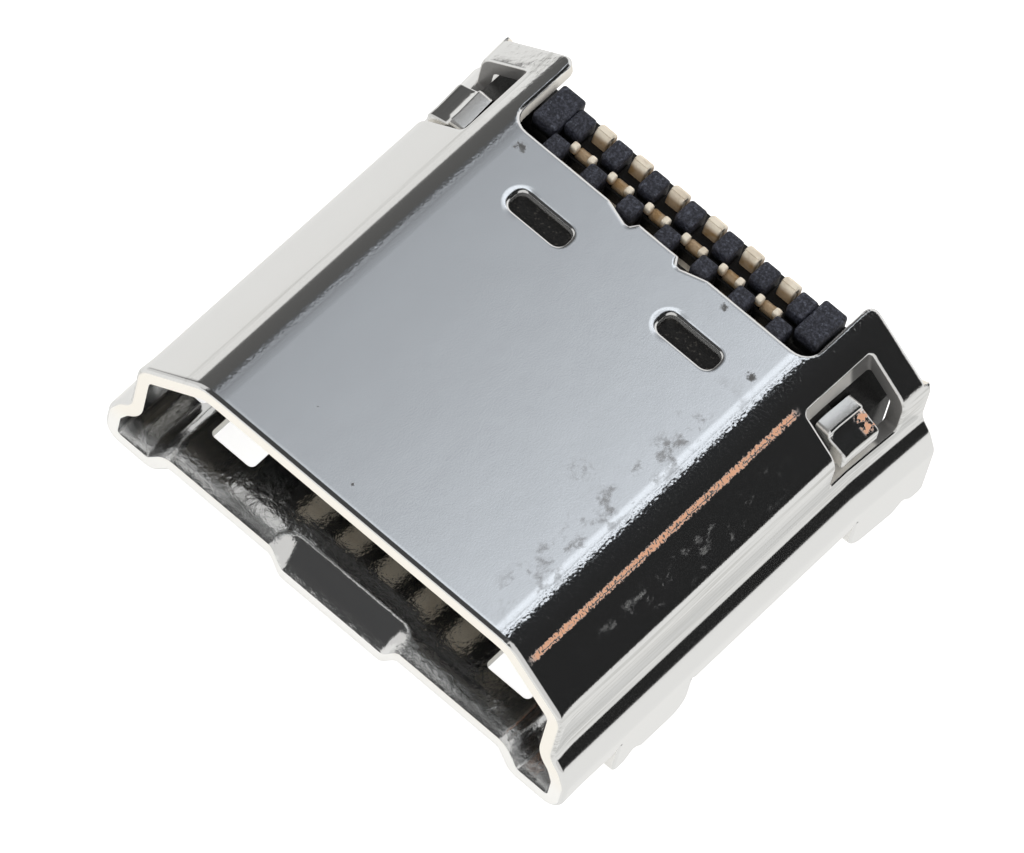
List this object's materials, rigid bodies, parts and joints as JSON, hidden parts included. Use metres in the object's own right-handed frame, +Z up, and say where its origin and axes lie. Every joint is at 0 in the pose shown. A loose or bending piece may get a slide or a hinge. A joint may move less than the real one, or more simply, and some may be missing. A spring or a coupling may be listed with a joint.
{
  "type": "phone charging port",
  "caption": "Flat charging socket for a phone: a folded steel shell with a flared mouth and solder legs around a black tongue with contacts.",
  "frame": {"origin": "centre of the bounding box in X and Y, at the tips of the solder legs in Z", "axes": "+X across the mouth to the right as seen from the back, +Y from the mouth to the solder tails, +Z up through the top plate"},
  "size_m": [0.0082, 0.0076, 0.0031],
  "materials": {
    "shell_steel": "smooth plated steel",
    "black_moulding": "matt",
    "contact_gold": "gold plated"
  },
  "bodies": {
    "root": {"outer_shell": "shell_steel", "contact_housing": "black_moulding", "rear_comb": "black_moulding", "upper_contact_1": "contact_gold", "upper_contact_2": "contact_gold", "upper_contact_3": "contact_gold", "upper_contact_4": "contact_gold", "upper_contact_5": "contact_gold", "upper_contact_6": "contact_gold", "lower_contact_1": "contact_gold", "lower_contact_2": "contact_gold", "lower_contact_3": "contact_gold", "lower_contact_4": "contact_gold", "lower_contact_5": "contact_gold"}
  },
  "joints": []
}
